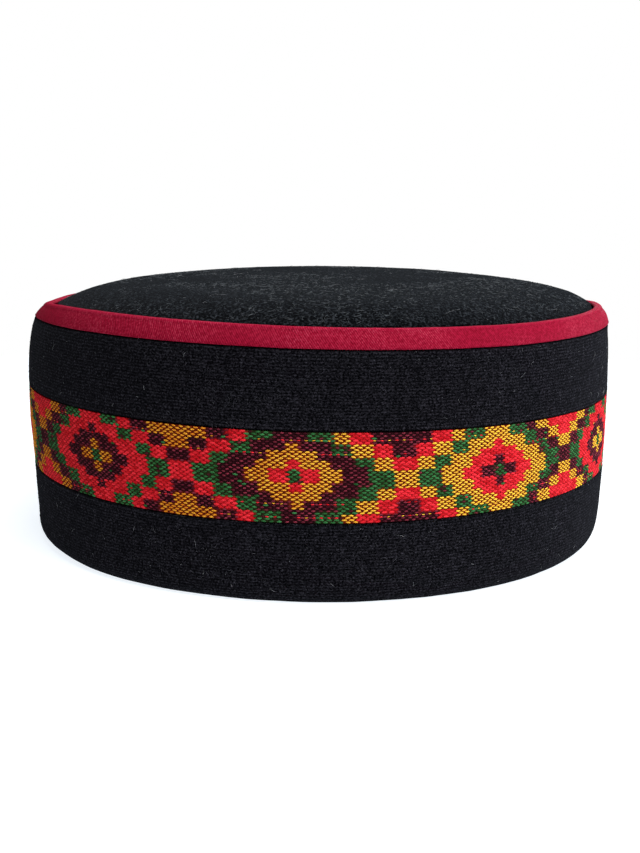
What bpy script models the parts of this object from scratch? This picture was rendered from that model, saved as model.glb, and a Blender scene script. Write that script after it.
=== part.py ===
"""A kullu cap: a round black wool cap whose side is turned up outside as a band, with a woven border
sewn into the band and a red binding over its edge.

Metres, +Z up. The cap stands on its lower fold at Z = 0 and the middle of its front faces -Y.
"""

import math

import bmesh
import bpy

MM = 0.001

# Heights above the surface that the cap stands on
TOP_EDGE = 78.4 * MM
BINDING_FOOT = 72.7 * MM
BORDER_TOP = 49.7 * MM
BORDER_FOOT = 24.2 * MM
WALL_FOOT = 2.9 * MM
CROWN_EDGE = 77.2 * MM
CROWN_RISE = 7.2 * MM

# Outline of the side, from its widest ring to the rolled top edge and the fold at the foot
WIDEST_RADIUS = 97.5 * MM
WIDEST_HEIGHT = 44.0 * MM
BELLY_DEPTH = 1.6 * MM
BELLY_REACH = 40.0 * MM
TOP_TUCK = 2.9 * MM
TOP_TUCK_REACH = 3.2 * MM
FOOT_TUCK = 3.2 * MM
FOOT_TUCK_REACH = 2.2 * MM

# Thicknesses and gaps
GAP = 0.3 * MM
STRIP = 1.0 * MM
BAND = 2.6 * MM
WALL = 1.8 * MM
CROWN = 2.0 * MM
ROLL_DEPTH = 3.1 * MM
ROUNDING = 0.6 * MM

# Form of the crown: nearly flat in the middle, rounding down at its shoulder
CROWN_RADIUS = 90.4 * MM
SHOULDER_POWER = 8.0
WALL_TAPER = (60.0 * MM, 71.0 * MM)

# How the soft edge has settled: lower round the back, sloping along the front, leaning in at its left
BACK_DIP = 3.6 * MM
DIP_ANGLES = (math.radians(60), math.radians(130))
FRONT_SLOPE = 1.3 * MM
LEFT_LEAN = 2.9 * MM
LEAN_REACH = 8.0 * MM
CROWN_SHARE = 0.5

ROUND_STEPS = 72
SMOOTH_ANGLE = math.radians(40)

# Colour, roughness and metallic value of each cloth
BLACK_WOOL = ((0.011, 0.011, 0.014, 1.0), 0.95, 0.0)
WOVEN_WOOL = ((0.42, 0.06, 0.03, 1.0), 0.85, 0.0)
RED_SATIN = ((0.35, 0.011, 0.034, 1.0), 0.45, 0.0)


def smooth_step(value, low, high):
    """0 below low, 1 above high, and an S curve between them."""
    share = min(1.0, max(0.0, (value - low) / (high - low)))
    return share * share * (3 - 2 * share)


def side_radius(height):
    """Radius of the cap's outer face at a height."""
    belly = BELLY_DEPTH * ((height - WIDEST_HEIGHT) / BELLY_REACH) ** 2
    top_tuck = TOP_TUCK * math.exp((height - TOP_EDGE) / TOP_TUCK_REACH)
    foot_tuck = FOOT_TUCK * math.exp(-height / FOOT_TUCK_REACH)
    return WIDEST_RADIUS - belly - top_tuck - foot_tuck


def along_side(inset, heights):
    """Section points that follow the outer face, this far inside it."""
    return [(side_radius(height) - inset, height) for height in heights]


def spaced(low, high, steps):
    """Heights from low to high in equal steps, both ends included."""
    return [low + (high - low) * step / steps for step in range(steps + 1)]


def edge_wave(angle):
    """How far the top edge stands off its height at the front; the angle is 0 there, plus to +X."""
    dip = BACK_DIP * smooth_step(abs(angle), *DIP_ANGLES)
    slope = FRONT_SLOPE * math.sin(2 * angle) if abs(angle) < math.pi / 2 else 0.0
    return -dip - slope


def settled(point, share):
    """A point of the evenly turned cap, moved to where the soft cloth has settled."""
    radius = math.hypot(point.x, point.y)
    if radius < MM:
        return point
    angle = math.atan2(point.x, -point.y)
    reach = min(1.0, radius / CROWN_RADIUS) ** 2 * smooth_step(point.z, BORDER_TOP, BINDING_FOOT)
    height = point.z + edge_wave(angle) * share * reach
    left = max(0.0, -math.sin(angle)) ** 2
    lean = LEFT_LEAN * left * reach * math.exp((height - TOP_EDGE) / LEAN_REACH)
    scale = (radius - lean) / radius
    return type(point)((point.x * scale, point.y * scale, height))


def turned(name, section, finish, share=1.0, closed=True):
    """Turns a section round the cap's axis, settles it and makes it an object."""
    shape = bmesh.new()
    points = [shape.verts.new((radius, 0.0, height)) for radius, height in section]
    pairs = list(zip(points, points[1:]))
    if closed:
        pairs.append((points[-1], points[0]))
    edges = [shape.edges.new(pair) for pair in pairs]
    bmesh.ops.spin(
        shape, geom=points + edges, cent=(0, 0, 0), axis=(0, 0, 1),
        angle=math.tau, steps=ROUND_STEPS, use_merge=True,
    )
    bmesh.ops.remove_doubles(shape, verts=shape.verts, dist=0.01 * MM)
    for vert in shape.verts:
        vert.co = settled(vert.co, share)
    bmesh.ops.recalc_face_normals(shape, faces=shape.faces)
    mesh = bpy.data.meshes.new(name)
    shape.to_mesh(mesh)
    shape.free()
    mesh.shade_smooth()
    mesh.set_sharp_from_angle(angle=SMOOTH_ANGLE)
    mesh.materials.append(cloth(name, *finish))
    piece = bpy.data.objects.new(name, mesh)
    bpy.context.scene.collection.objects.link(piece)
    return piece


def cloth(name, colour, roughness, metallic):
    """A plain cloth finish."""
    material = bpy.data.materials.new(name + "_cloth")
    material.use_nodes = True
    shader = material.node_tree.nodes["Principled BSDF"]
    shader.inputs["Base Color"].default_value = colour
    shader.inputs["Roughness"].default_value = roughness
    shader.inputs["Metallic"].default_value = metallic
    material.diffuse_color = colour
    return material


def wall_outside(height):
    """Outer radius of the inner side wall: against the band, then drawn in to the crown's seam."""
    against_band = side_radius(height) - BAND - GAP
    drawn_in = smooth_step(height, *WALL_TAPER)
    return against_band + (CROWN_RADIUS - against_band) * drawn_in


def side_wall():
    """The wall round the head, from the fold at the foot to the seam under the crown's edge."""
    top = CROWN_EDGE - CROWN - GAP
    heights = spaced(WALL_FOOT, WALL_TAPER[0], 4) + spaced(*WALL_TAPER, 4)[1:] + [top]
    outside = [(wall_outside(height), height) for height in heights]
    inside = [(radius - WALL, height) for radius, height in reversed(outside)]
    return turned("side_wall", outside + inside, BLACK_WOOL, CROWN_SHARE)


def turned_up_band():
    """The band outside the wall: folded under it at the foot, with a bed for the woven border and
    a thinner tongue at the top that the binding grips."""
    foot = [0.0, 0.7 * MM, 1.8 * MM, 3.5 * MM, 7.0 * MM, 14.0 * MM]
    below = along_side(0.0, foot + [BORDER_FOOT - GAP - ROUNDING])
    above = along_side(0.0, spaced(BORDER_TOP + GAP + ROUNDING, BINDING_FOOT - GAP, 3))
    bed = along_side(STRIP + GAP, spaced(BORDER_FOOT - GAP, BORDER_TOP + GAP, 3))
    tongue_top = TOP_EDGE - ROLL_DEPTH - GAP
    tongue = along_side(STRIP + GAP, [BINDING_FOOT - GAP, tongue_top])
    inside = along_side(BAND, [tongue_top] + list(reversed(spaced(WALL_FOOT - GAP, BINDING_FOOT, 5))))
    fold_radius = wall_outside(WALL_FOOT) - WALL
    fold = [
        (fold_radius, WALL_FOOT - GAP),
        (fold_radius, 2 * ROUNDING),
        (fold_radius + ROUNDING, 0.0),
    ]
    lower_lip = along_side(ROUNDING, [BORDER_FOOT - GAP])
    upper_lip = along_side(ROUNDING, [BORDER_TOP + GAP])
    section = below + lower_lip + bed + upper_lip + above + tongue + inside + fold
    return turned("turned_up_band", section, BLACK_WOOL)


def woven_border():
    """The patterned strip, flush with the black cloth above and below it."""
    outside = along_side(0.0, spaced(BORDER_FOOT, BORDER_TOP, 4))
    inside = along_side(STRIP, reversed(spaced(BORDER_FOOT, BORDER_TOP, 3)))
    return turned("woven_border", outside + inside, WOVEN_WOOL)


def edge_binding():
    """The bias binding: a skirt outside the band's tongue and a folded roll on top of it."""
    roll_foot = TOP_EDGE - ROLL_DEPTH
    shoulder = TOP_EDGE - ROUNDING
    outside = along_side(0.0, [BINDING_FOOT, BINDING_FOOT + 2 * MM, BINDING_FOOT + 4 * MM, shoulder])
    top = along_side(ROUNDING, [TOP_EDGE]) + along_side(BAND - ROUNDING, [TOP_EDGE])
    inside = along_side(BAND, [shoulder, roll_foot])
    skirt = along_side(STRIP, [roll_foot, BINDING_FOOT])
    return turned("edge_binding", outside + top + inside + skirt, RED_SATIN)


def crown_height(share):
    """Height of the crown's outer face at a share of its radius."""
    return CROWN_EDGE + CROWN_RISE * (1 - share**SHOULDER_POWER)


def crown():
    """The round top, a shallow dome of felted wool sewn to the wall's top edge."""
    outer_shares = (0.0, 0.25, 0.5, 0.68, 0.8, 0.87, 0.92, 0.96, 0.99)
    inner_shares = (1.0, 0.95, 0.88, 0.76, 0.5, 0.25, 0.0)
    outside = [(share * CROWN_RADIUS, crown_height(share)) for share in outer_shares]
    rim = [(CROWN_RADIUS, crown_height(1.0) - 0.5 * MM)]
    inside = [(share * CROWN_RADIUS, crown_height(share) - CROWN) for share in inner_shares]
    return turned("crown", outside + rim + inside, BLACK_WOOL, CROWN_SHARE, closed=False)


def clear_scene():
    for old in list(bpy.data.objects):
        bpy.data.objects.remove(old)


clear_scene()
cap = bpy.data.objects.new("kullu_cap", None)
bpy.context.scene.collection.objects.link(cap)
for make in (side_wall, turned_up_band, woven_border, edge_binding, crown):
    make().parent = cap
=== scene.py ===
"""The looks of a kullu cap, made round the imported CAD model.

Metres, +Z up. The cap stands on Z = 0 and the middle of its front faces -Y.
"""

import math
import random

import bmesh
import bpy
from mathutils import Matrix, Vector, noise


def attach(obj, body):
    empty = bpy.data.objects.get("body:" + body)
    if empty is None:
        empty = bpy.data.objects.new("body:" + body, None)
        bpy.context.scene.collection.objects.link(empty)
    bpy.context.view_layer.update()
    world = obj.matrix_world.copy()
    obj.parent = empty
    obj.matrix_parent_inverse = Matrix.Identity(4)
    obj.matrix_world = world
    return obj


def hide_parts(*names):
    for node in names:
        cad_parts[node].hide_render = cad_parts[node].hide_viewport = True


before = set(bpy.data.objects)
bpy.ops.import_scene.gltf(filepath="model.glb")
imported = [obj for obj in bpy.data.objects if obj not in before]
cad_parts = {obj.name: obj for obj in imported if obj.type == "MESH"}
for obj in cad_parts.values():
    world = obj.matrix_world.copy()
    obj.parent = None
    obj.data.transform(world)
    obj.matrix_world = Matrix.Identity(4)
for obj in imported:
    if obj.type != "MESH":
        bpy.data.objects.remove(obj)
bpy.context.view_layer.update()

# The view: a camera in front of the cap looks down on it a little, and was held a fraction of a
# degree off level. Its lens is worked out from how fast the cap's rings narrow towards the back.
LENS = 55.94
CAMERA_PLACE = (0.0, -0.4516, 0.1204)
LOOK_DOWN = math.radians(10.98)
LOOK_ROLL = math.radians(0.48)
LOOK_TURN = math.radians(-0.09)

camera = bpy.data.objects.new("camera", bpy.data.cameras.new("camera"))
camera.data.lens = LENS
camera.data.clip_start = 0.01
camera.matrix_world = (
    Matrix.Translation(CAMERA_PLACE)
    @ Matrix.Rotation(LOOK_TURN, 4, "Z")
    @ Matrix.Rotation(math.pi / 2 - LOOK_DOWN, 4, "X")
    @ Matrix.Rotation(LOOK_ROLL, 4, "Z")
)
bpy.context.scene.collection.objects.link(camera)
bpy.context.scene.camera = camera
bpy.context.scene.view_settings.view_transform = "Standard"

# The studio: a round white light table in front of a white wall, so that almost no shadow shows,
# and soft boxes: a large one overhead, a small low one close at the right, and others at the
# front, the left and the back.
TABLE_RADIUS = 0.45
TABLE_SIDES = 96
TABLE_DROP = 0.0001
TABLE_GREYS = ((0.33, 0.33, 0.33, 1.0), (0.37, 0.37, 0.37, 1.0))
TABLE_GLOW = 0.92
TABLE_TINT = (0.90, 0.95, 1.0, 1.0)
WALL_WHITE = 1.0
WORLD_LIGHT = 0.02
BACK_LIGHT = 0.25
NEUTRAL = (1.0, 1.0, 1.0)
COOL = (0.9, 0.96, 1.0)
COOLER = (0.84, 0.92, 1.0)
SOFT_BOXES = (
    {"name": "box_overhead", "place": (0.3, -0.4, 1.3), "size": 0.9, "watts": 21.0, "tint": NEUTRAL},
    {"name": "box_right", "place": (0.78, 0.2, 0.17), "size": 0.35, "watts": 3.8, "tint": COOLER},
    {"name": "box_front", "place": (0.7, -0.7, 0.71), "size": 0.5, "watts": 7.0, "tint": NEUTRAL},
    {"name": "box_left", "place": (-1.04, 0.6, 0.13), "size": 0.5, "watts": 0.3, "tint": COOLER},
    {"name": "box_back", "place": (0.4, 1.3, 0.6), "size": 0.8, "watts": 6.0, "tint": COOL},
)


class Wire:
    """An output of a material's nodes. Operators on it add the Math nodes that they stand for."""

    def __init__(self, tree, socket=None):
        self.tree = tree
        self.socket = socket

    def node(self, kind, settings=None, inputs=None, output=0):
        """Adds a node: its settings first, then the values or wires of its sockets."""
        made = self.tree.nodes.new(kind)
        for name, value in (settings or {}).items():
            if name == "stops":
                set_stops(made.color_ramp, value)
            else:
                setattr(made, name, value)
        for name, value in (inputs or {}).items():
            if isinstance(value, Wire):
                self.tree.links.new(value.socket, made.inputs[name])
            else:
                made.inputs[name].default_value = value
        return Wire(self.tree, made.outputs[output] if made.outputs else None)

    def math(self, operation, *values):
        inputs = dict(enumerate(values))
        return self.node("ShaderNodeMath", {"operation": operation}, inputs)

    def __add__(self, other):
        return self.math("ADD", self, other)

    def __radd__(self, other):
        return self.math("ADD", other, self)

    def __sub__(self, other):
        return self.math("SUBTRACT", self, other)

    def __rsub__(self, other):
        return self.math("SUBTRACT", other, self)

    def __mul__(self, other):
        return self.math("MULTIPLY", self, other)

    def __rmul__(self, other):
        return self.math("MULTIPLY", other, self)

    def __truediv__(self, other):
        return self.math("DIVIDE", self, other)

    def __pow__(self, other):
        return self.math("POWER", self, other)


def set_stops(ramp, stops):
    """Gives a colour ramp its stops: a place and a grey value for each."""
    while len(ramp.elements) < len(stops):
        ramp.elements.new(1.0)
    for element, (place, grey) in zip(ramp.elements, stops):
        element.position = place
        element.color = (grey, grey, grey, 1.0)


def start_material(name):
    """A new material with no nodes, and a wire to add them with."""
    material = bpy.data.materials.new(name)
    material.use_nodes = True
    material.node_tree.nodes.clear()
    return material, Wire(material.node_tree)


def finish_material(wire, shader_inputs):
    """Ends a material with a principled shader that has these inputs."""
    shader = wire.node("ShaderNodeBsdfPrincipled", inputs=shader_inputs)
    wire.node("ShaderNodeOutputMaterial", inputs={"Surface": shader})


def mixed(share, low, high):
    """The colour between two colours, at a wire's share."""
    colours = {0: share, 6: low, 7: high}
    return share.node("ShaderNodeMix", {"data_type": "RGBA"}, colours, output=2)


def clouded(place, scale, detail=3.0, roughness=0.55):
    """Noise of about 0 to 1 at a place."""
    inputs = {"Vector": place, "Scale": scale, "Detail": detail, "Roughness": roughness}
    return place.node("ShaderNodeTexNoise", inputs=inputs)


def linked(name, mesh):
    """An object of that name in the scene."""
    piece = bpy.data.objects.new(name, mesh)
    bpy.context.scene.collection.objects.link(piece)
    return piece


def table_paint():
    material, wire = start_material("table_paint")
    place = wire.node("ShaderNodeTexCoord", output="Object")
    shade = mixed(clouded(place, 3.0), *TABLE_GREYS)
    finish_material(wire, {
        "Base Color": shade, "Roughness": 0.9, "Specular IOR Level": 0.0,
        "Emission Color": TABLE_TINT, "Emission Strength": TABLE_GLOW,
    })
    return material


table_shape = bmesh.new()
bmesh.ops.create_circle(table_shape, cap_ends=True, segments=TABLE_SIDES, radius=TABLE_RADIUS)
bmesh.ops.translate(table_shape, verts=table_shape.verts, vec=(0, 0, -TABLE_DROP))
table_mesh = bpy.data.meshes.new("table")
table_shape.to_mesh(table_mesh)
table_shape.free()
table_mesh.materials.append(table_paint())
linked("table", table_mesh)

world = bpy.data.worlds.new("studio")
world.use_nodes = True
world.node_tree.nodes.clear()
air = Wire(world.node_tree)
seen = air.node("ShaderNodeLightPath", output="Is Camera Ray")
heading = air.node("ShaderNodeTexCoord", output="Generated")
backward = air.node("ShaderNodeSeparateXYZ", inputs={0: heading}, output=1)
shine = air.math("MAXIMUM", backward, 0.0) * BACK_LIGHT + WORLD_LIGHT
glow = air.node("ShaderNodeBackground", inputs={
    "Color": (1.0, 1.0, 1.0, 1.0), "Strength": shine + seen * (WALL_WHITE - shine),
})
air.node("ShaderNodeOutputWorld", inputs={"Surface": glow})
bpy.context.scene.world = world
for soft_box in SOFT_BOXES:
    light = bpy.data.lights.new(soft_box["name"], "AREA")
    light.size = soft_box["size"]
    light.energy = soft_box["watts"]
    light.color = soft_box["tint"]
    box = linked(soft_box["name"], light)
    box.location = soft_box["place"]
    box.rotation_euler = (-Vector(soft_box["place"])).to_track_quat("-Z", "Y").to_euler()

# The side wall goes round the head. It is a strip of thick black wool cloth, sewn to the crown at
# its top edge and turned up outside at its foot, and it is softer than it is straight.
MM = 0.001
TOP_EDGE = 78.4 * MM
BINDING_FOOT = 72.7 * MM
BORDER_TOP = 49.7 * MM
BORDER_FOOT = 24.2 * MM
WALL_FOOT = 2.9 * MM
CROWN_EDGE = 77.2 * MM
WALL_TOP = CROWN_EDGE - 0.8 * MM
CROWN_RADIUS = 90.4 * MM
WALL_TAPER = (60.0 * MM, 71.0 * MM)
GAP = 0.3 * MM
BAND = 2.6 * MM
WALL = 1.8 * MM
ROUND_STEPS = 288

# Outline of the side, from its widest ring to the rolled top edge and the fold at the foot
WIDEST_RADIUS = 97.5 * MM
WIDEST_HEIGHT = 44.0 * MM
BELLY_DEPTH = 1.6 * MM
BELLY_REACH = 40.0 * MM
TOP_TUCK = 2.9 * MM
TOP_TUCK_REACH = 3.2 * MM
FOOT_TUCK = 3.2 * MM
FOOT_TUCK_REACH = 2.2 * MM

# How the soft edge has settled: lower round the back, sloping along the front, sagging and leaning
# in at its left, and standing straighter at its right. The crown goes up and down half as far.
BACK_DIP = 3.6 * MM
DIP_ANGLES = (math.radians(60), math.radians(130))
LEFT_DIP_ANGLES = (math.radians(68), math.radians(150))
FRONT_SLOPE = 0.9 * MM
LEFT_SAG = 1.95 * MM
LEFT_SAG_TURN = math.radians(-4)
LEFT_SAG_POWER = 12
LEFT_SAG_HEIGHTS = (BINDING_FOOT - 2 * MM, TOP_EDGE)
LEFT_LEAN = 3.5 * MM
LEAN_REACH = 8.0 * MM
RIGHT_UPRIGHT = 0.5 * MM
UPRIGHT_HEIGHTS = (69.0 * MM, 74.0 * MM, 75.5 * MM, TOP_EDGE)
CROWN_SHARE = 0.5

# Lower down, the cloth is a little hollow at the left and the border's edges wander off their level
LEFT_HOLLOW = 0.8 * MM
HOLLOW_HEIGHTS = (2.0 * MM, 9.0 * MM, 22.0 * MM, 42.0 * MM)
BORDER_TOP_RISE = 0.2 * MM
BORDER_TOP_TILT = 0.9 * MM
BORDER_FOOT_RISE = 1.1 * MM
DRIFT_HEIGHTS = (4.0 * MM, 20.0 * MM, 54.0 * MM, 70.0 * MM)

# A slow wave of all the cloth: the length, share and start of each swing
SOFT_WAVES = (
    (32 * MM, 1.0, (0, 0, 0)),
    (11 * MM, 0.5, (7, 3, 5)),
    (4 * MM, 0.35, (1, 9, 4)),
)
SOFT_SEED = 5
noise.seed_set(SOFT_SEED)


def smooth_step(value, low, high):
    """0 below low, 1 above high, and an S curve between them."""
    share = min(1.0, max(0.0, (value - low) / (high - low)))
    return share * share * (3 - 2 * share)


def smooth_stretch(value, start, full, fade, end):
    """1 from full to fade, 0 before start and after end, and S curves between them."""
    return smooth_step(value, start, full) * (1 - smooth_step(value, fade, end))


def side_radius(height):
    """Radius of the cap's outer face at a height, as in the part's source."""
    belly = BELLY_DEPTH * ((height - WIDEST_HEIGHT) / BELLY_REACH) ** 2
    top_tuck = TOP_TUCK * math.exp((height - TOP_EDGE) / TOP_TUCK_REACH)
    foot_tuck = FOOT_TUCK * math.exp(-height / FOOT_TUCK_REACH)
    return WIDEST_RADIUS - belly - top_tuck - foot_tuck


def wall_outside(height):
    """Outer radius of the side wall: against the band, then drawn in to the crown's seam."""
    against_band = side_radius(height) - BAND - GAP
    return against_band + (CROWN_RADIUS - against_band) * smooth_step(height, *WALL_TAPER)


def edge_wave(angle):
    """How far the top edge stands off its height at the front; the angle is 0 there, plus to +X."""
    dip = BACK_DIP * smooth_step(abs(angle), *(LEFT_DIP_ANGLES if angle < 0 else DIP_ANGLES))
    slope = FRONT_SLOPE * math.sin(2 * angle) if abs(angle) < math.pi / 2 else 0.0
    return -dip - slope


def left_sag(angle, height):
    """How far the top edge, but not the cloth under the binding, droops at the left."""
    droop = LEFT_SAG * max(0.0, -math.sin(angle + LEFT_SAG_TURN)) ** LEFT_SAG_POWER
    return droop * smooth_step(height, *LEFT_SAG_HEIGHTS)


def border_drift(angle, height):
    """How far the border's two edges, and the cloth beside them, wander off their level."""
    top = BORDER_TOP_RISE - BORDER_TOP_TILT * math.sin(angle)
    foot = BORDER_FOOT_RISE * math.sin(angle) ** 2
    share = min(1.0, max(0.0, (height - BORDER_FOOT) / (BORDER_TOP - BORDER_FOOT)))
    return (foot + (top - foot) * share) * smooth_stretch(height, *DRIFT_HEIGHTS)


def settled(point, share):
    """A point of the evenly turned cap, moved to where the soft cloth has settled."""
    radius = math.hypot(point.x, point.y)
    if radius < MM:
        return point.copy()
    angle = math.atan2(point.x, -point.y)
    reach = min(1.0, radius / CROWN_RADIUS) ** 2 * smooth_step(point.z, BORDER_TOP, BINDING_FOOT)
    height = point.z + (edge_wave(angle) - left_sag(angle, point.z)) * share * reach
    height += border_drift(angle, point.z)
    left = max(0.0, -math.sin(angle)) ** 2
    right = max(0.0, math.sin(angle)) ** 4
    lean = LEFT_LEAN * left * reach * math.exp((height - TOP_EDGE) / LEAN_REACH)
    lean += LEFT_HOLLOW * left * smooth_stretch(point.z, *HOLLOW_HEIGHTS)
    lean -= RIGHT_UPRIGHT * right * reach * smooth_stretch(point.z, *UPRIGHT_HEIGHTS)
    scale = (radius - lean) / radius
    return Vector((point.x * scale, point.y * scale, height))


def spaced(low, high, steps):
    """Values from low to high in equal steps, both ends included."""
    return [low + (high - low) * step / steps for step in range(steps + 1)]


def turned(name, section, share=1.0, closed=True, steps=ROUND_STEPS, softness=0.0):
    """Turns a section round the cap's axis, lets it settle and wave softly, and makes it a piece.
    Its even_place attribute keeps where each point was, for patterns that follow the cloth."""
    shape = bmesh.new()
    even_place = shape.verts.layers.float_vector.new("even_place")
    points = [shape.verts.new((0.0, -radius, height)) for radius, height in section]
    pairs = list(zip(points, points[1:]))
    if closed:
        pairs.append((points[-1], points[0]))
    edges = [shape.edges.new(pair) for pair in pairs]
    bmesh.ops.spin(
        shape, geom=points + edges, cent=(0, 0, 0), axis=(0, 0, 1),
        angle=math.tau, steps=steps, use_merge=True,
    )
    bmesh.ops.remove_doubles(shape, verts=shape.verts, dist=0.002 * MM)
    for vert in shape.verts:
        vert[even_place] = vert.co
        vert.co = settled(vert.co, share) + soft_shift(vert.co) * softness
    bmesh.ops.recalc_face_normals(shape, faces=shape.faces)
    mesh = bpy.data.meshes.new(name)
    shape.to_mesh(mesh)
    shape.free()
    mesh.shade_smooth()
    return linked(name, mesh)


def soft_shift(point):
    """A slow wave of the cloth in all directions, about one unit high."""
    shift = Vector((0, 0, 0))
    for length, share, start in SOFT_WAVES:
        shift += noise.noise_vector(point / length + Vector(start)) * share
    return shift


def dressed(piece, material, slot, *stands_for):
    """Gives a piece its material and body, and hides the CAD nodes that it stands for. The slot is
    not used.
    """
    piece.data.materials.append(material)
    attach(piece, "root")
    if stands_for:
        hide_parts(*stands_for)
    return piece


def cloth_place(wire):
    """Where a point of a turned piece was before the cloth settled."""
    return wire.node("ShaderNodeAttribute", {"attribute_name": "even_place"}, output="Vector")


def along_and_up(place):
    """Distances round the cap and up it, in metres, on the evenly turned cloth."""
    parts = [place.node("ShaderNodeSeparateXYZ", inputs={0: place}, output=i) for i in range(3)]
    angle = place.math("ARCTAN2", parts[0], -1 * parts[1])
    return angle * WIDEST_RADIUS, parts[2]


def sharpened(value, low, high):
    """A wire that is 0 below low, 1 above high and straight between."""
    return value.node("ShaderNodeValToRGB", {"stops": ((low, 0.0), (high, 1.0))}, {0: value})


def raised(height):
    """The bump of a surface that stands up by a wire's height in metres."""
    return height.node("ShaderNodeBump", inputs={"Height": height, "Strength": 1.0, "Distance": 1.0})


ROW = 0.92 * MM
DASH = 0.6 * MM
NAP_TINT = (0.84, 0.92, 1.0, 1.0)


def black_wool(name, dark, light, woven_share, relief, haze):
    """Black wool. Where it is woven, short dashes of thread lie in rows; where it is felted, its
    fibres are matted in small clumps. Here and there a pale speck is a painted glint of a fibre
    catching the light, and the haze of fine nap shows where the cloth turns away."""
    material, wire = start_material(name)
    place = cloth_place(wire)
    along, up = along_and_up(place)
    wander = clouded(place, 260.0)
    rows = place.math("ABSOLUTE", place.math("SINE", (up / ROW + wander * 0.8) * math.pi))
    flat = wire.node("ShaderNodeCombineXYZ", inputs={0: along / DASH, 1: up / (0.5 * ROW)})
    dash = sharpened(clouded(flat, 1.0, 2.0), 0.43, 0.66)
    nap = sharpened(clouded(place, 1500.0, 3.0, 0.6), 0.47, 0.66)
    matted = sharpened(clouded(place, 520.0, 3.0, 0.6), 0.36, 0.66)
    patch = clouded(place, 60.0, 2.0) * 0.5 + 0.75
    # Painted glints: small pale specks mixed into the colour, where fibres would catch the light
    speck = sharpened(clouded(place, 2100.0, 1.0), 0.68, 0.80)
    woven = dash * (rows**2 * 0.8 + 0.2) * (matted * 0.45 + 0.55)
    felted = nap * (matted * 0.8 + 0.2)
    cloth = woven * woven_share + felted * (1 - woven_share)
    colour = mixed((cloth + speck * 0.6) * patch, dark, light)
    finish_material(wire, {
        "Base Color": colour, "Roughness": 1.0, "Specular IOR Level": 0.0,
        "Normal": raised(cloth * relief),
        "Sheen Weight": haze, "Sheen Roughness": 0.5, "Sheen Tint": NAP_TINT,
    })
    return material


WALL_WOOL = {
    "dark": (0.001, 0.001, 0.0015, 1.0), "light": (0.04, 0.04, 0.047, 1.0),
    "woven_share": 0.6, "relief": 0.0001, "haze": 0.014,
}

wall_heights = spaced(WALL_FOOT, WALL_TAPER[0], 10) + spaced(*WALL_TAPER, 6)[1:] + [WALL_TOP]
wall_outer = [(wall_outside(height), height) for height in wall_heights]
wall_inner = [(radius - WALL, height) for radius, height in reversed(wall_outer)]
wall_wool = black_wool("wall_wool", **WALL_WOOL)
side_wall = turned("side_wall_cloth", wall_outer + wall_inner, CROWN_SHARE, softness=0.1 * MM)
dressed(side_wall, wall_wool, "black_wool", "side_wall")

# The crown is a round of felted black wool, sewn in at the top. It swells up a little inside its
# edge and lies almost flat in the middle.
CROWN = 2.0 * MM
FELT_RADIUS = CROWN_RADIUS + 0.2 * MM
FELT_EDGE = CROWN_EDGE + 0.8 * MM
FELT_RISE = 5.9 * MM
SHOULDER_POWER = 10.0
RIM = 0.9 * MM
RIM_DROP = 1.0 * MM
CROWN_RINGS = 46
SHIFT_RIGHT = 0.4 * MM
TILT_RIGHT = 0.6 * MM
ARCH = 0.9 * MM
CROWN_WOOL = {
    "dark": (0.0006, 0.0007, 0.001, 1.0), "light": (0.042, 0.048, 0.057, 1.0),
    "woven_share": 0.0, "relief": 0.0002, "haze": 0.031,
}


def bend(middle, radius, start, end, steps):
    """Section points round a bend, from one angle in degrees to another."""
    turns = [math.radians(angle) for angle in spaced(start, end, steps)]
    return [(middle[0] + radius * math.cos(a), middle[1] + radius * math.sin(a)) for a in turns]


def crown_height(share):
    """Height of the crown's outer face at a share of its radius."""
    return FELT_EDGE + FELT_RISE * (1 - share**SHOULDER_POWER)


def swell(point):
    """How far the felt lies to the right of an even crown, higher at its right side, and arched
    over its two sides."""
    share = min(1.0, math.hypot(point.x, point.y) / FELT_RADIUS)
    across = point.x / FELT_RADIUS
    lift = TILT_RIGHT * across + ARCH * (1 - 2 * across**2)
    return Vector((SHIFT_RIGHT, 0.0, lift * (1 - 0.6 * share**6)))


outer_shares = [math.sin(math.pi / 2 * ring / CROWN_RINGS) for ring in range(CROWN_RINGS)]
inner_shares = list(reversed(outer_shares[::3]))
crown_top = [(share * FELT_RADIUS, crown_height(share)) for share in outer_shares]
crown_rim = bend((FELT_RADIUS - RIM, FELT_EDGE - RIM_DROP), RIM, 30, -80, 4)
crown_under = [(share * CROWN_RADIUS, crown_height(share) - CROWN) for share in inner_shares]
crown_wool = black_wool("crown_wool", **CROWN_WOOL)
crown = turned(
    "crown_felt", crown_top + crown_rim + crown_under, CROWN_SHARE, closed=False, softness=0.22 * MM
)
for crown_vertex in crown.data.vertices:
    crown_vertex.co += swell(crown_vertex.co)
# The wall's top edge is sewn to the felt all round and lies as high as it does
for wall_vertex in side_wall.data.vertices:
    if wall_vertex.co.z > WALL_TAPER[1]:
        wall_vertex.co.z += swell(wall_vertex.co).z
dressed(crown, crown_wool, "black_wool", "crown")

# The band is the same wool turned up outside the wall. It is folded under the wall's foot and
# pressed, and its rows of thread run round the cap, above and below the border.
STRIP = 1.0 * MM
ROLL_DEPTH = 3.1 * MM
LIP = 0.55 * MM
FOOT_HEIGHTS = [0.0, 0.35 * MM, 0.8 * MM, 1.4 * MM]
BAND_FOOT = 2.0 * MM
BAND_STEPS = 18
BAND_WOOL = {
    "dark": (0.0005, 0.0005, 0.0008, 1.0), "light": (0.043, 0.041, 0.053, 1.0),
    "woven_share": 0.7, "relief": 0.00012, "haze": 0.016,
}


def along_side(inset, heights):
    """Section points that follow the outer face, this far inside it."""
    return [(side_radius(height) - inset, height) for height in heights]


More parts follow.
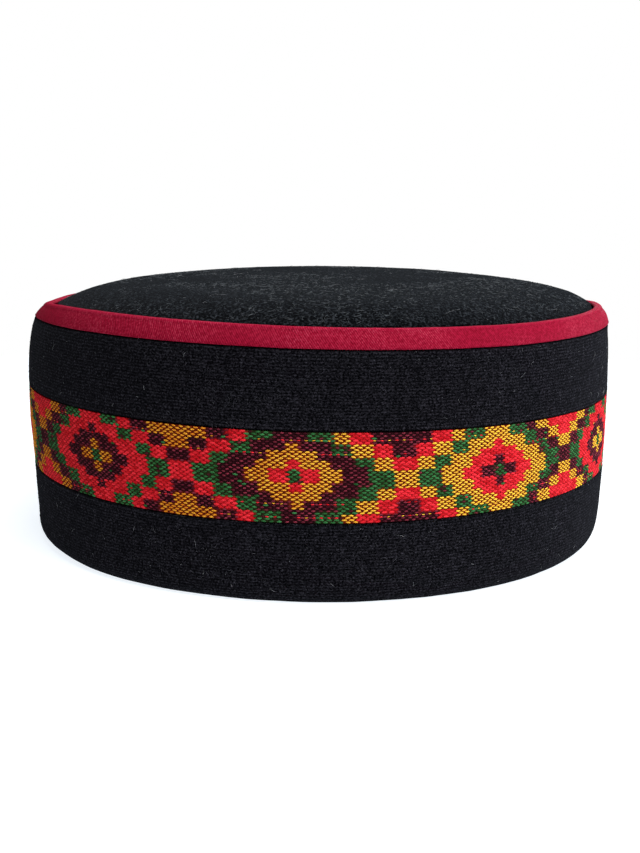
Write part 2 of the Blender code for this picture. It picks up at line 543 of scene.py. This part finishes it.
lower_lip = side_radius(BORDER_FOOT) - LIP, BORDER_FOOT - GAP - LIP
upper_lip = side_radius(BORDER_TOP) - LIP, BORDER_TOP + GAP + LIP
tongue_top = TOP_EDGE - ROLL_DEPTH - GAP
fold_radius = wall_outside(WALL_FOOT) - WALL
band_section = (
    along_side(0.0, FOOT_HEIGHTS)
    + along_side(0.0, spaced(BAND_FOOT, BORDER_FOOT - GAP - LIP, BAND_STEPS))
    + bend(lower_lip, LIP, 0, 90, 4)
    + along_side(STRIP + GAP, spaced(BORDER_FOOT - GAP, BORDER_TOP + GAP, 6))
    + bend(upper_lip, LIP, -90, 0, 4)
    + along_side(0.0, spaced(BORDER_TOP + GAP + LIP, BINDING_FOOT - GAP, BAND_STEPS))
    + along_side(STRIP + GAP, [BINDING_FOOT - GAP, tongue_top])
    + along_side(BAND, [tongue_top] + list(reversed(spaced(WALL_FOOT - GAP, BINDING_FOOT, 12))))
    + [(fold_radius, WALL_FOOT - GAP), (fold_radius, 1.2 * MM), (fold_radius + 0.4 * MM, 0.4 * MM)]
    + [(fold_radius + 1.2 * MM, 0.0)]
)
band_wool = black_wool("band_wool", **BAND_WOOL)
band = turned("turned_up_band_cloth", band_section, softness=0.16 * MM)
dressed(band, band_wool, "black_wool", "turned_up_band")

# The woven border is a strip of wool tapestry sewn into the band. Its picks, the threads that run
# round the cap, float over every other warp thread and hide it. A motif is a stepped diamond or a
# stepped cross, three yarns take turns in them, and the ground is green.
PICKS = 40
PICK = (BORDER_TOP - BORDER_FOOT) / PICKS
THREAD = 1.05 * MM
HALF_REPEAT = 30
SKEW = 0.105
LEFT_SKEW = 0.13
LEFT_SKEW_ANGLES = (8, 45, 90, 130)
BORDER_MIDDLE = (BORDER_TOP + BORDER_FOOT) / 2
GROUND_INSET = 0.28 * MM
GROUND_STEPS = 576

# Angle in degrees and height of each motif's middle, from the left of the front to the right of it.
# Every other one is a diamond, starting at the second. Beyond them the repeat is even.
FRONT_MOTIFS = (
    (-61.3, 37.0 * MM),
    (-41.8, 37.2 * MM),
    (-23.4, 36.9 * MM),
    (-3.7, 37.4 * MM),
    (14.8, 36.5 * MM),
    (32.4, 36.7 * MM),
    (49.6, 37.6 * MM),
    (66.0, 37.0 * MM),
)
FIRST_MOTIF = -3
EVEN_PITCH = 18.5
ALL_MOTIFS = range(-12, 13)

# How many picks and threads the steps of a diamond's shapes reach from its middle, inner ones first
DIAMOND = (
    {"shape": "core", "picks": 2.8, "threads": 2},
    {"shape": "cross", "picks": 2.8, "threads": 6.5},
    {"shape": "cross", "picks": 7.2, "threads": 2},
    {"shape": "ring", "picks": 2.8, "threads": 12.8},
    {"shape": "ring", "picks": 7.2, "threads": 9.7},
    {"shape": "ring", "picks": 10.8, "threads": 6.3},
    {"shape": "ring", "picks": 14.4, "threads": 2},
    {"shape": "outline", "picks": 4.6, "threads": 19.5},
    {"shape": "outline", "picks": 9.7, "threads": 16.3},
    {"shape": "outline", "picks": 15.6, "threads": 10.2},
    {"shape": "outline", "picks": 99, "threads": 4.4},
)
# How many picks from its middle a cross's arms take each step outwards, and how many threads from
# its middle each of its blocks ends
CROSS_STEPS = (4.1, 9.6, 15.4)
CROSS_EDGES = (3.3, 8.8, 14.1, 18.9)
YARNS = ("maroon", "yellow", "red")


def motif_middle(index):
    """Angle and height of a motif's middle; the diamond nearest the front's middle has index 0."""
    step = index - FIRST_MOTIF
    last = len(FRONT_MOTIFS) - 1
    angle, height = FRONT_MOTIFS[min(last, max(0, step))]
    return angle + EVEN_PITCH * (step - min(last, max(0, step))), height


def yarn_turn(yarns, turns):
    """The yarns in the order in which a motif uses them, this many turns on."""
    turns %= len(yarns)
    return yarns[turns:] + yarns[:turns]


def diamond_yarn(index, threads, picks):
    """The yarn of a diamond so many threads and picks from its middle, or None beside it."""
    outline, ring, cross = yarn_turn(YARNS, index // 2)
    yarns = {"core": "green", "cross": cross, "ring": ring, "outline": outline}
    for step in DIAMOND:
        if abs(picks) < step["picks"] and abs(threads) < step["threads"]:
            return yarns[step["shape"]]
    return None


def cross_yarn(index, threads, picks):
    """The yarn of a cross so many threads and picks from its middle, or None beside it."""
    level = sum(abs(picks) > step for step in CROSS_STEPS)
    block = sum(abs(threads) > edge for edge in CROSS_EDGES)
    if block > level:
        return None
    return yarn_turn(YARNS, 1 - index // 2)[min(2, level - block)]


def charted_yarn(thread, height):
    """The yarn at a warp thread, counted from the front diamond's middle, and a height."""
    nearest = round(thread / HALF_REPEAT)
    near = range(nearest - 1, nearest + 2)
    for index in sorted(near, key=lambda index: abs(index * HALF_REPEAT - thread)):
        look_up = diamond_yarn if index % 2 == 0 else cross_yarn
        picks = (motif_middle(index)[1] - height) / PICK
        found = look_up(index, thread - index * HALF_REPEAT, picks)
        if found:
            return found
    return "green"


def thread_angle(thread, height):
    """Angle in radians of a warp thread at a height: even between motifs, and skewed as the strip
    is, which is pulled askew the most at the left."""
    place = thread / HALF_REPEAT
    index = math.floor(place)
    low, high = motif_middle(index)[0], motif_middle(index + 1)[0]
    angle = low + (high - low) * (place - index)
    skew = SKEW + LEFT_SKEW * smooth_stretch(-angle, *LEFT_SKEW_ANGLES)
    return math.radians(angle) + skew * (BORDER_MIDDLE - height) / WIDEST_RADIUS


def on_side(angle, height, inset):
    """The point of the side at an angle and a height, this far inside the outer face."""
    radius = side_radius(height) - inset
    return settled(Vector((radius * math.sin(angle), -radius * math.cos(angle), height)), 1.0)


WARP_SHADE = (0.004, 0.001, 0.001, 1.0)
UNDER_DYES = {
    "yellow": (0.22, 0.02, 0.004, 1.0),
    "red": (0.60, 0.010, 0.014, 1.0),
    "green": (0.025, 0.035, 0.010, 1.0),
    "maroon": (0.03, 0.004, 0.007, 1.0),
}


def woven_ground():
    """What shows behind the picks: dark warp, and each yarn's underside in its own colour."""
    material, wire = start_material("border_warp")
    place = cloth_place(wire)
    along, up = along_and_up(place)
    under = wire.node("ShaderNodeAttribute", {"attribute_name": "under_dye"}, output="Color")
    warp = place.math("ABSOLUTE", place.math("SINE", along * (math.pi / THREAD)))
    fuzz = clouded(place, 1400.0, 3.0)
    colour = mixed(fuzz * 0.7 + warp * 0.3, WARP_SHADE, under)
    bump = raised(warp * 0.00015 + fuzz * 0.0001)
    finish_material(wire, {
        "Base Color": colour, "Roughness": 0.9, "Specular IOR Level": 0.04, "Normal": bump,
    })
    return material


def thread_at(angle, height):
    """The warp thread at an angle: thread_angle turned round."""
    index = next(i for i in ALL_MOTIFS if thread_angle((i + 1) * HALF_REPEAT, height) > angle)
    low, high = (thread_angle(i * HALF_REPEAT, height) for i in (index, index + 1))
    return (index + (angle - low) / (high - low)) * HALF_REPEAT


ground_section = along_side(GROUND_INSET, spaced(BORDER_FOOT, BORDER_TOP, PICKS))
ground_section += along_side(STRIP, reversed(spaced(BORDER_FOOT, BORDER_TOP, 8)))
ground = turned("border_ground", ground_section, steps=GROUND_STEPS)
even_spots = [spot.vector for spot in ground.data.attributes["even_place"].data]
ground.data.attributes.new("under_dye", "FLOAT_COLOR", "POINT")
for even_spot, dye in zip(even_spots, ground.data.attributes["under_dye"].data):
    around = math.atan2(even_spot.x, -even_spot.y)
    dye.color = UNDER_DYES[charted_yarn(thread_at(around, even_spot.z), even_spot.z)]
dressed(ground, woven_ground(), "patterned_weave", "woven_border")

# The picks themselves: each float is a short thick piece of yarn that bows over one warp thread and
# dives under the next, so that the floats of neighbouring picks are staggered and lock like bricks.
FLOAT_LENGTHS = {"yellow": 1.75 * MM, "red": 2.05 * MM, "green": 1.75 * MM, "maroon": 1.4 * MM}
FLOAT_WIDTHS = {"yellow": 0.54 * MM, "red": 0.74 * MM, "green": 0.62 * MM, "maroon": 0.52 * MM}
FLOAT_RISES = {"yellow": 0.46 * MM, "red": 0.32 * MM, "green": 0.40 * MM, "maroon": 0.46 * MM}
FLOAT_COLOURS = {
    "yellow": ((0.58, 0.12, 0.004, 1.0), (1.0, 0.66, 0.06, 1.0)),
    "red": ((0.42, 0.003, 0.007, 1.0), (0.88, 0.032, 0.048, 1.0)),
    "green": ((0.010, 0.055, 0.012, 1.0), (0.045, 0.21, 0.065, 1.0)),
    "maroon": ((0.012, 0.001, 0.004, 1.0), (0.26, 0.032, 0.055, 1.0)),
}
# The yellow yarn changes from an orange batch to a golden one near the middle of the front
BATCH_CHANGE = (math.radians(-30), math.radians(25))
STRAY = {"green": 0.10, "maroon": 0.02, "yellow": 0.0, "red": 0.0}
SPECKS = {"green": ("maroon",), "maroon": ("green",)}
# Picks, from the top, on which a yarn that is carried behind shows between the floats
PEEK_PICKS = (3, 9, 31, 37)
PEEK_CHANCE = 0.65
PEEK_YARNS = ("red", "red", "yellow")
PEEK_LENGTH = 0.6


def yarn_float():
    """One float: a spindle of yarn along X that bows up in its middle. Its sizes are all one."""
    shape = bmesh.new()
    bmesh.ops.create_uvsphere(shape, u_segments=5, v_segments=4, radius=0.5)
    bmesh.ops.rotate(shape, verts=shape.verts, matrix=Matrix.Rotation(math.pi / 2, 3, "Y"))
    bmesh.ops.scale(shape, verts=shape.verts, vec=(1.0, 1.0, 0.8))
    for vert in shape.verts:
        vert.co.z += 0.5 * math.cos(math.pi * vert.co.x) - 0.35
    bmesh.ops.recalc_face_normals(shape, faces=shape.faces)
    shape.verts.ensure_lookup_table()
    points = [vert.co.copy() for vert in shape.verts]
    faces = [[vert.index for vert in face.verts] for face in shape.faces]
    shape.free()
    return points, faces


def yarn_dye(yarn):
    """Dyed wool yarn: each float has its own depth of colour, and a twist of fibres along it."""
    material, wire = start_material(yarn + "_yarn")
    place = wire.node("ShaderNodeTexCoord", output="Object")
    dye = wire.node("ShaderNodeAttribute", {"attribute_name": "dye"}, output="Fac")
    fuzz = clouded(place, 2600.0, 3.0, 0.6)
    colour = mixed(dye * 0.8 + fuzz * 0.4 - 0.1, *FLOAT_COLOURS[yarn])
    finish_material(wire, {
        "Base Color": colour, "Roughness": 0.8, "Specular IOR Level": 0.04,
        "Normal": raised(fuzz * 0.0001),
    })
    return material


def laid_floats(chance):
    """Every float of the border as (yarn, thread, height, share of its full length), with the odd
    stray thread and the specks of yarn that show between floats."""
    laid = []
    for pick in range(PICKS):
        height = BORDER_TOP - (pick + 0.5) * PICK
        first, last = (round(thread_at(side, height)) for side in (-math.pi, math.pi))
        for thread in range(first + 1, last):
            yarn = charted_yarn(thread, height)
            if (thread + pick) % 2 == 0:
                if chance.random() < STRAY[yarn]:
                    yarn = chance.choice(SPECKS[yarn])
                laid.append((yarn, thread, height, 1.0))
            elif yarn in SPECKS and pick in PEEK_PICKS and chance.random() < PEEK_CHANCE:
                laid.append((chance.choice(PEEK_YARNS), thread, height, PEEK_LENGTH))
    return laid


def float_points(template, yarn, thread, height, share, chance):
    """The template's points at a float's place on the cap."""
    angle = thread_angle(thread, height)
    height += chance.uniform(-0.05, 0.05) * MM
    length = FLOAT_LENGTHS[yarn] * share * chance.uniform(0.92, 1.08)
    width = FLOAT_WIDTHS[yarn] * share * chance.uniform(0.9, 1.1)
    rise = FLOAT_RISES[yarn] * share * chance.uniform(0.8, 1.1)
    tilt = math.sin(math.radians(chance.gauss(0, 5)))
    points = []
    for point in template:
        along = point.x * length
        up = point.y * width + along * tilt
        inset = GROUND_INSET - point.z * rise
        points.append(on_side(angle + along / WIDEST_RADIUS, height + up, inset))
    return points


def float_dye(yarn, thread, height, chance):
    """How deep or light a float's colour is, from 0 to 1."""
    if yarn != "yellow":
        return chance.random()
    golden = smooth_step(thread_angle(thread, height), *BATCH_CHANGE)
    return 0.35 * chance.random() + 0.6 * golden


def weave_floats():
    """Makes one piece of all the floats of each yarn."""
    chance = random.Random(11)
    template, template_faces = yarn_float()
    laid = laid_floats(chance)
    for yarn in FLOAT_COLOURS:
        points, faces, dyes = [], [], []
        for name, thread, height, share in laid:
            if name == yarn:
                base = len(points)
                points += float_points(template, yarn, thread, height, share, chance)
                faces += [[base + corner for corner in face] for face in template_faces]
                dyes += [float_dye(yarn, thread, height, chance)] * len(template)
        mesh = bpy.data.meshes.new("border_floats_" + yarn)
        mesh.from_pydata(points, [], faces)
        mesh.attributes.new("dye", "FLOAT", "POINT").data.foreach_set("value", dyes)
        mesh.shade_smooth()
        dressed(linked("border_floats_" + yarn, mesh), yarn_dye(yarn), "patterned_weave")


weave_floats()

# The binding is a crimson satin tape, cut on the bias and folded over the top edge of the band. It
# is sewn down from behind, so only its two folded edges and its fine twill show.
TAPE_PROUD = 0.25 * MM
TOP_FOLD = 1.0 * MM
FOOT_FOLD = 0.45 * MM
TWILL = 0.57 * MM
FACE_MIDDLE = (BINDING_FOOT + TOP_EDGE) / 2
FACE_HALF_HEIGHT = (TOP_EDGE - BINDING_FOOT) / 2
TAPE_DARK = (0.13, 0.0004, 0.006, 1.0)
TAPE_LIGHT = (0.37, 0.010, 0.041, 1.0)
TAPE_GLINT = (0.72, 0.22, 0.29, 1.0)


def satin_tape():
    """Crimson satin with fine diagonal ridges, a painted highlight along its folded edges, and
    painted glints.
    """
    material, wire = start_material("satin_tape")
    place = cloth_place(wire)
    along, up = along_and_up(place)
    drift = clouded(place, 40.0, 2.0)
    diagonal = (along * 0.82 + up * 0.57) / TWILL + drift * 2.0
    ridge = place.math("SINE", diagonal * math.tau) * 0.5 + 0.5
    grain = sharpened(clouded(place, 1500.0, 3.0), 0.36, 0.64)
    # Painted highlight: the colour is lighter near the tape's top and foot edges, where the rounded
    # folds catch the light
    fold_highlight = sharpened(place.math("ABSOLUTE", up - FACE_MIDDLE) / FACE_HALF_HEIGHT, 0.80, 1.0)
    share = ridge * 0.30 + grain * 0.45 + drift * 0.30 + fold_highlight * 0.2
    dyed = mixed(share, TAPE_DARK, TAPE_LIGHT)
    # Painted glints: pale pink mixed into the colour on ridge tops here and there, where the satin
    # catches the light
    glint = sharpened(ridge * 0.5 + grain * 0.5, 0.6, 1.0) * (sharpened(drift, 0.4, 0.65) * 0.16)
    finish_material(wire, {
        "Base Color": mixed(glint, dyed, TAPE_GLINT), "Roughness": 0.6, "Specular IOR Level": 0.01,
        "Normal": raised(ridge * 0.00007 + grain * 0.00004),
    })
    return material


foot_middle = side_radius(BINDING_FOOT) + TAPE_PROUD - FOOT_FOLD, BINDING_FOOT + FOOT_FOLD
top_outer = side_radius(TOP_EDGE - TOP_FOLD) + TAPE_PROUD - TOP_FOLD, TOP_EDGE - TOP_FOLD
top_inner = side_radius(TOP_EDGE - TOP_FOLD) - BAND + TOP_FOLD, TOP_EDGE - TOP_FOLD
face_heights = spaced(BINDING_FOOT + FOOT_FOLD, TOP_EDGE - TOP_FOLD, 8)[1:-1]
tape_section = (
    bend(foot_middle, FOOT_FOLD, -90, 0, 4)
    + along_side(-TAPE_PROUD, face_heights)
    + bend(top_outer, TOP_FOLD, 0, 90, 6)
    + bend(top_inner, TOP_FOLD, 90, 180, 6)
    + along_side(BAND, [TOP_EDGE - 2.0 * MM, TOP_EDGE - ROLL_DEPTH])
    + along_side(STRIP, [TOP_EDGE - ROLL_DEPTH, BINDING_FOOT + 0.2 * MM])
)
tape = turned("edge_binding_tape", tape_section, softness=0.14 * MM)
dressed(tape, satin_tape(), "red_satin", "edge_binding")

# Loose fibres stand off the wool everywhere, a few of them long and pale. They are as thin as
# hairs and lie almost flat on the cloth.
HAIR_STEPS = 3
HAIR_ROOT = 0.04 * MM
SEAM_ROOM = 0.5 * MM
BAND_HAIR_FOOT = 3.0 * MM
CROWN_HAIR_REACH = 0.985


def hair_wool(name, colour):
    """One pale or dark wool fibre, a little uneven along its length."""
    material, wire = start_material(name)
    place = wire.node("ShaderNodeTexCoord", output="Object")
    low = tuple(part * 0.15 for part in colour[:3]) + (1.0,)
    share = sharpened(clouded(place, 900.0, 1.0), 0.35, 0.65)
    finish_material(wire, {
        "Base Color": mixed(share, low, colour), "Roughness": 0.8, "Specular IOR Level": 0.1,
    })
    return material


def hair_path(start, facing, length, lift, chance):
    """Points of a curled fibre that leaves the cloth at start, rises and comes down again."""
    side = facing.orthogonal().normalized()
    way = (Matrix.Rotation(chance.uniform(0, math.tau), 3, facing) @ side).normalized()
    bow = facing.cross(way) * chance.uniform(-0.9, 0.9)
    points = []
    for step in range(HAIR_STEPS + 1):
        share = step / HAIR_STEPS
        hump = 4 * (share - share * share)
        out = facing * (lift * hump - HAIR_ROOT)
        points.append(start + way * length * (share - 0.5) + bow * length * hump / 4 + out)
    return points


def hairs(name, paths, thickness, material):
    """A piece made of one thin round strand along each path."""
    curve = bpy.data.curves.new(name, "CURVE")
    curve.dimensions = "3D"
    curve.bevel_depth = thickness / 2
    curve.bevel_resolution = 0
    curve.use_fill_caps = True
    for path in paths:
        spline = curve.splines.new("POLY")
        spline.points.add(len(path) - 1)
        for point, place in zip(spline.points, path):
            point.co = (*place, 1.0)
    drawn = linked(name + "_line", curve)
    mesh = bpy.data.meshes.new_from_object(drawn)
    bpy.data.objects.remove(drawn)
    mesh.name = name
    mesh.materials.clear()
    mesh.shade_smooth()
    return dressed(linked(name, mesh), material, "black_wool")


def band_spot(chance):
    """A place on the black cloth of the band and the way out of it."""
    height = chance.choice((
        chance.uniform(BAND_HAIR_FOOT, BORDER_FOOT - SEAM_ROOM),
        chance.uniform(BORDER_TOP + SEAM_ROOM, BINDING_FOOT - SEAM_ROOM),
    ))
    angle = chance.uniform(-math.pi, math.pi)
    return on_side(angle, height, 0.05 * MM), Vector((math.sin(angle), -math.cos(angle), 0.0))


def crown_spot(chance):
    """A place on the crown and the way out of it."""
    share = CROWN_HAIR_REACH * math.sqrt(chance.random())
    angle = chance.uniform(-math.pi, math.pi)
    radius = share * FELT_RADIUS
    spot = Vector((radius * math.sin(angle), -radius * math.cos(angle), crown_height(share)))
    slope = FELT_RISE * SHOULDER_POWER * share ** (SHOULDER_POWER - 1) / FELT_RADIUS
    out = Vector((slope * math.sin(angle), -slope * math.cos(angle), 1.0)).normalized()
    spot = settled(spot, CROWN_SHARE)
    return spot + swell(spot), out


def strewn(spot, count, shortest, longest, lift, seed):
    """Paths of many fibres strewn over a cloth, most of them short."""
    chance = random.Random(seed)
    paths = []
    for _ in range(count):
        start, facing = spot(chance)
        length = shortest + (longest - shortest) * chance.random() ** 3
        paths.append(hair_path(start, facing, length, lift * chance.random(), chance))
    return paths


pale_hair = hair_wool("pale_fibre", (0.30, 0.31, 0.33, 1.0))
crown_hair = hair_wool("crown_fibre", (0.115, 0.128, 0.14, 1.0))
band_hair = hair_wool("band_fibre", (0.06, 0.06, 0.072, 1.0))

# Each kind's name, wool and thickness, then where it lies, how many there are, the shortest and the
# longest, how high they bow, and the seed of their chance
HAIR_KINDS = (
    ("crown_fuzz", crown_hair, 0.11 * MM, crown_spot, 6900, 0.7 * MM, 2.4 * MM, 0.11 * MM, 3),
    ("band_fuzz", band_hair, 0.09 * MM, band_spot, 6500, 0.5 * MM, 1.5 * MM, 0.14 * MM, 5),
    ("crown_pale_fibres", pale_hair, 0.06 * MM, crown_spot, 160, 0.6 * MM, 5.0 * MM, 0.5 * MM, 7),
    ("crown_long_fibres", pale_hair, 0.07 * MM, crown_spot, 12, 5.0 * MM, 9.0 * MM, 0.4 * MM, 4),
    ("band_pale_fibres", pale_hair, 0.06 * MM, band_spot, 420, 0.4 * MM, 3.5 * MM, 0.25 * MM, 9),
)
for kind, wool, thickness, *where_and_how in HAIR_KINDS:
    hairs(kind, strewn(*where_and_how), thickness, wool)
